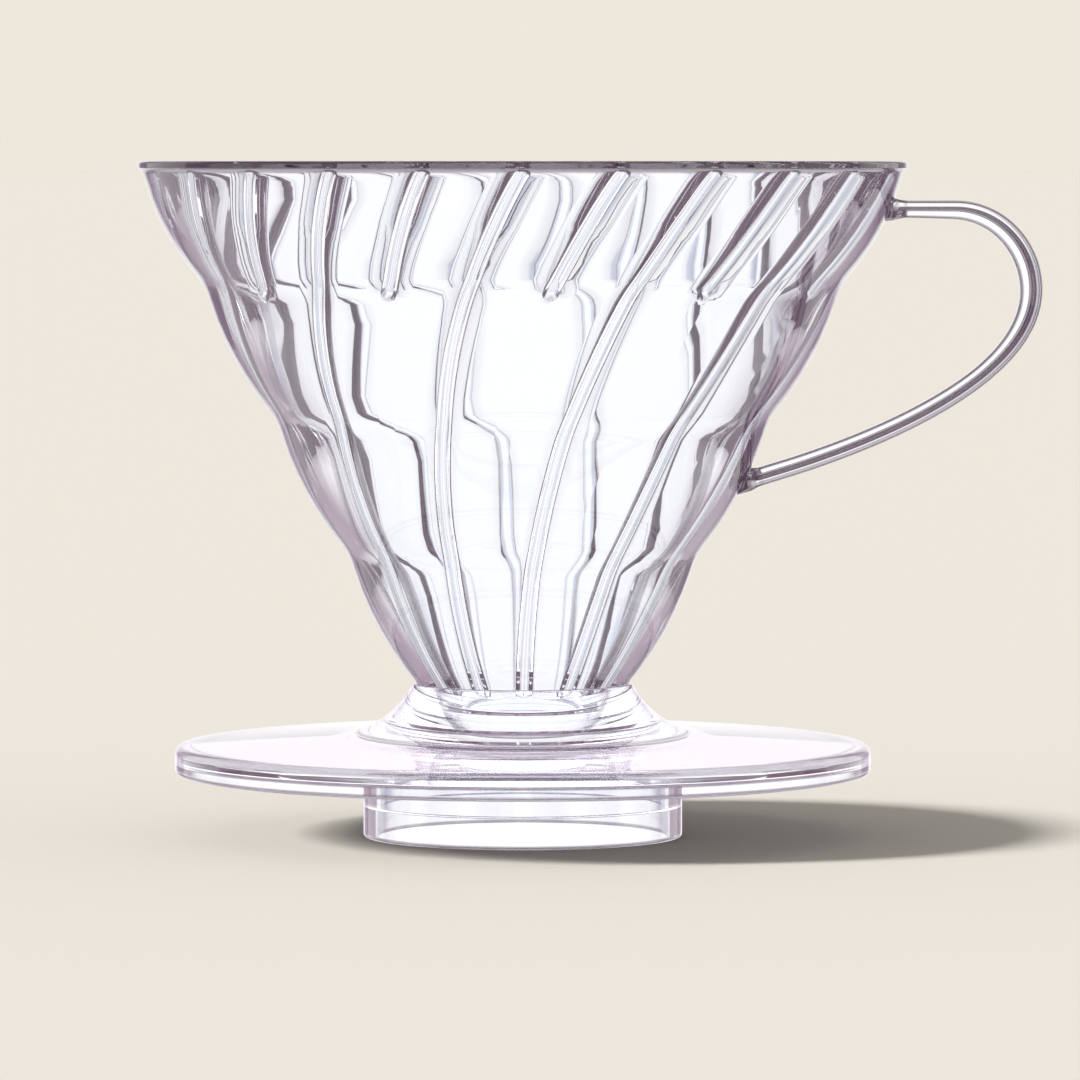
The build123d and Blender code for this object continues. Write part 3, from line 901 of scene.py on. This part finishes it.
class DRIPPER_OT_saucer(bpy.types.Operator):
    """Build the flared skirt and the round plate"""

    bl_idname = "dripper.saucer"
    bl_label = "Saucer"

    def execute(self, context):
        f, s, g = context.scene.dripper_funnel, context.scene.dripper_saucer, context.scene.dripper_ring
        collar_bore = f.spigot_radius + s.gap
        collar = collar_bore + s.collar_wall
        groove_outer, groove_inner = g.radius + s.gap, g.radius - g.wall - s.gap
        rib_inner = groove_inner - s.locating_wall
        lip_inner = PLATE_RADIUS - s.lip_wall
        plate_edge = PLATE_RADIUS - s.edge_round
        plate_slope = (s.skirt_foot_height - s.plate_top) / (plate_edge - s.skirt_foot)
        skirt_slope = 1 / math.tan(s.skirt_lean)
        fall = NECK_HEIGHT - s.skirt_foot_height
        out = (fall - plate_slope * (s.skirt_foot - s.skirt_top)) / (skirt_slope - plate_slope)
        bend = np.array([s.skirt_top + out, NECK_HEIGHT - skirt_slope * out])
        top = np.array([s.skirt_top, NECK_HEIGHT])
        foot = np.array([s.skirt_foot, s.skirt_foot_height])
        # The same curve as a quadratic one with its corner at bend.
        flare = bezier(top, (top + 2 * bend) / 3, (foot + 2 * bend) / 3, foot, 28)
        small = 0.25 * MM
        corners = [(collar_bore, NECK_HEIGHT, small), (*top, small)]
        corners += [(a, b, 0.0) for a, b in flare[1:]]
        corners += [(PLATE_RADIUS, s.plate_top, s.edge_round), (PLATE_RADIUS, PLATE_FOOT, 0.7 * MM),
                    (lip_inner, PLATE_FOOT, 0.5 * MM), (lip_inner, s.underside, 0.6 * MM),
                    (groove_outer, s.underside, small), (groove_outer, RING_TOP, small),
                    (groove_inner, RING_TOP, small), (groove_inner, s.locating_foot, small),
                    (rib_inner, s.locating_foot, small), (rib_inner, s.recess_ceiling, 0.5 * MM),
                    (collar, s.recess_ceiling, 0.5 * MM), (collar, s.collar_foot, 0.9 * MM),
                    (collar_bore, s.collar_foot, small)]
        piece = turned_object("flared_saucer", corners, 320, plate_plastic())
        stand_for(piece, "saucer")
        return {"FINISHED"}


class DRIPPER_OT_seat_ring(bpy.types.Operator):
    """Build the ring that centres the dripper in a server"""

    bl_idname = "dripper.seat_ring"
    bl_label = "Seat ring"

    def execute(self, context):
        g, s = context.scene.dripper_ring, context.scene.dripper_saucer
        bore = g.radius - g.wall
        top = RING_TOP - s.gap
        tongue = g.radius - g.relief
        corners = [(g.radius, 0.0, g.edge_round), (g.radius, s.underside - g.relief, 0.2 * MM),
                   (tongue, s.underside, 0.2 * MM), (tongue, top, 0.25 * MM), (bore, top, 0.25 * MM),
                   (bore, g.step_height, 0.2 * MM), (bore + g.step, g.step_height, 0.15 * MM),
                   (bore + g.step, 0.0, g.edge_round)]
        piece = turned_object("seat_ring_clear", corners, 256, plate_plastic())
        stand_for(piece, "seat_ring")
        return {"FINISHED"}


# Climbs, in degrees, between which the sky turns white above, and below where no floor is in the way.
WHITE_ABOVE = (52, 66)
WHITE_BELOW = (8, 22)
# Below these, light mirrored inside the plastic isn't darkened. Nor is it in WINDOW_ROWS of windows,
# as wide and as tall as the ranges of a cosine say.
INSIDE_BELOW = (12, 34)
WINDOW_WIDE = (0.45, 0.75)
WINDOW_TALL = (0.1, 0.5)
WINDOW_ROWS = 9.0
WHITE = (1.0, 1.0, 1.0)
FLOOR_HALF = 60.0


class DRIPPER_OT_studio(bpy.types.Operator):
    """Set the floor, the backdrop, the lights and the camera"""

    bl_idname = "dripper.studio"
    bl_label = "Studio"

    def execute(self, context):
        s = context.scene.dripper_studio
        self.backdrop(context, s)
        self.sun(context, s, self.floor(context, s))
        lens = bpy.data.cameras.new("Camera")
        lens.lens = s.lens
        lens.clip_start = 0.01
        camera = bpy.data.objects.new("Camera", lens)
        camera.location = (s.aside, -s.distance, MOUTH_HEIGHT)
        camera.rotation_euler = (math.pi / 2 - s.pitch, 0, 0)
        context.scene.collection.objects.link(camera)
        context.scene.camera = camera
        context.scene.view_settings.view_transform = "Standard"
        return {"FINISHED"}

    def backdrop(self, context, s):
        """World: a plain backdrop for the camera, and for the plastic soft white panels all round,
        with darker gaps between them that draw its edges."""
        world = bpy.data.worlds.new("Studio")
        world.use_nodes = True
        tree = world.node_tree
        nodes, links = tree.nodes, tree.links
        nodes.clear()
        m = MathNodes(tree)
        where = nodes.new("ShaderNodeTexCoord")
        place = nodes.new("ShaderNodeSeparateXYZ")
        links.new(where.outputs["Generated"], place.inputs[0])
        x, y, z = place.outputs
        azimuth = m.arctan2(y, x)
        climb = m.arcsine(z)
        drop = m.multiply(climb, -1.0)

        def cosine_of(value, times):
            return m.cosine(m.multiply(value, times))

        def ramp(value, low, high):
            node = nodes.new("ShaderNodeMapRange")
            node.interpolation_type = "SMOOTHSTEP"
            node.inputs["From Min"].default_value = low
            node.inputs["From Max"].default_value = high
            links.new(value, node.inputs["Value"])
            return node.outputs["Result"]

        beside, steep = cosine_of(azimuth, float(s.panels)), cosine_of(climb, s.panel_rows)
        panel = m.multiply(*(ramp(side, s.gap_low, s.gap_high) for side in (beside, steep)))
        above = ramp(climb, *np.radians(WHITE_ABOVE))
        below = ramp(drop, *np.radians(WHITE_BELOW))
        lit = m.maximum(panel, m.maximum(above, below))
        path = nodes.new("ShaderNodeLightPath")

        def blend(factor, low, high):
            node = nodes.new("ShaderNodeMix")
            node.data_type = "RGBA"
            for socket, value in zip(("Factor", "A", "B"), (factor, low, high)):
                if isinstance(value, bpy.types.NodeSocket):
                    links.new(value, node.inputs[socket])
                else:
                    node.inputs[socket].default_value = (*value, 1)
            return node.outputs["Result"]

        # Light that has bounced about inside the plastic is dark, and draws the edges of the ribs.
        mirrorings, passes = path.outputs["Glossy Depth"], path.outputs["Transmission Depth"]
        bounced = m.minimum(mirrorings, 1.0)
        inside = m.multiply(bounced, m.minimum(passes, 1.0))
        level = m.subtract(1.0, ramp(drop, *np.radians(INSIDE_BELOW)))
        inside = m.multiply(inside, level)
        window = m.multiply(ramp(beside, *WINDOW_WIDE), ramp(cosine_of(climb, WINDOW_ROWS), *WINDOW_TALL))
        inside = m.multiply(inside, m.subtract(1.0, window))
        again = m.minimum(m.maximum(m.subtract(mirrorings, 1.0), 0.0), 1.0)
        straight = blend(lit, s.gap, WHITE)
        mirrored = blend(lit, s.mirror_gap, WHITE)
        outside = blend(bounced, straight, mirrored)
        light = blend(inside, outside, blend(again, s.inner_once, s.inner_more))
        shown, round_about, even = (nodes.new("ShaderNodeBackground") for _ in range(3))
        shown.inputs["Color"].default_value = (*s.backdrop, 1)
        links.new(light, round_about.inputs["Color"])
        round_about.inputs["Strength"].default_value = s.panel_light
        even.inputs["Color"].default_value = (*WHITE, 1)
        even.inputs["Strength"].default_value = s.sky_share
        on_floor, mix = (nodes.new("ShaderNodeMixShader") for _ in range(2))
        out = nodes.new("ShaderNodeOutputWorld")
        links.new(m.minimum(path.outputs["Diffuse Depth"], 1.0), on_floor.inputs["Fac"])
        links.new(round_about.outputs[0], on_floor.inputs[1])
        links.new(even.outputs[0], on_floor.inputs[2])
        links.new(path.outputs["Is Camera Ray"], mix.inputs["Fac"])
        links.new(on_floor.outputs[0], mix.inputs[1])
        links.new(shown.outputs[0], mix.inputs[2])
        links.new(mix.outputs[0], out.inputs["Surface"])
        context.scene.world = world

    def floor(self, context, s):
        """Plain floor. Sky and sun together light it to just the backdrop's colour."""
        mesh = bpy.data.meshes.new("floor")
        signs = ((-1, -1), (1, -1), (1, 1), (-1, 1))
        mesh.from_pydata([(x * FLOOR_HALF, y * FLOOR_HALF, 0) for x, y in signs], [], [(0, 1, 2, 3)])
        material = bpy.data.materials.new("Floor")
        material.use_nodes = True
        nodes = material.node_tree.nodes
        nodes.remove(nodes["Principled BSDF"])
        shader = nodes.new("ShaderNodeBsdfDiffuse")
        shader.inputs["Color"].default_value = (*s.backdrop, 1)
        material.node_tree.links.new(shader.outputs[0], nodes["Material Output"].inputs["Surface"])
        mesh.materials.append(material)
        floor = bpy.data.objects.new("floor", mesh)
        floor.visible_transmission = False
        floor.visible_glossy = False
        context.scene.collection.objects.link(floor)
        return floor

    def sun(self, context, s, floor):
        """Soft sun that lights the floor alone, so that it puts no bright spots on the plastic. The
        last factor makes up for its width."""
        data = bpy.data.lights.new("Sun", "SUN")
        data.angle = s.sun_width
        data.energy = (1 - s.sky_share) * math.pi / math.sin(s.sun_height) * math.cos(s.sun_width / 2) ** 4
        sun = bpy.data.objects.new("Sun", data)
        sun.light_linking.receiver_collection = bpy.data.collections.new("Lit by the sun")
        sun.light_linking.receiver_collection.objects.link(floor)
        away = Vector((math.cos(s.sun_height) * math.sin(s.sun_turn),
                       -math.cos(s.sun_height) * math.cos(s.sun_turn), math.sin(s.sun_height)))
        sun.rotation_euler = away.to_track_quat("Z", "Y").to_euler()
        context.scene.collection.objects.link(sun)


class DRIPPER_PT_panel(bpy.types.Panel):
    """Lists the dripper's sizes and the steps that build it"""

    bl_label = "Pour-over dripper"
    bl_idname = "DRIPPER_PT_panel"
    bl_space_type = "VIEW_3D"
    bl_region_type = "UI"
    bl_category = "Dripper"

    def draw(self, context):
        for step in STEPS:
            self.layout.operator(step.bl_idname)
        for name, group in GROUPS.items():
            box = self.layout.box()
            for field in group.__annotations__:
                box.prop(getattr(context.scene, name), field)


GROUPS = {
    "dripper_funnel": FunnelSizes,
    "dripper_ribs": RibSizes,
    "dripper_saucer": SaucerSizes,
    "dripper_ring": RingSizes,
    "dripper_handle": HandleSizes,
    "dripper_plastic": PlasticLook,
    "dripper_studio": StudioSettings,
}
STEPS = (DRIPPER_OT_studio, DRIPPER_OT_cone, DRIPPER_OT_saucer, DRIPPER_OT_seat_ring, DRIPPER_OT_handle)


def register():
    for cls in (*GROUPS.values(), *STEPS, DRIPPER_PT_panel):
        bpy.utils.register_class(cls)
    for name, group in GROUPS.items():
        setattr(bpy.types.Scene, name, bpy.props.PointerProperty(type=group))


def unregister():
    for name in GROUPS:
        delattr(bpy.types.Scene, name)
    for cls in reversed((*GROUPS.values(), *STEPS, DRIPPER_PT_panel)):
        bpy.utils.unregister_class(cls)


def main():
    register()
    bpy.ops.dripper.studio()
    bpy.ops.dripper.cone()
    bpy.ops.dripper.saucer()
    bpy.ops.dripper.seat_ring()
    bpy.ops.dripper.handle()


if __name__ == "__main__":
    main()
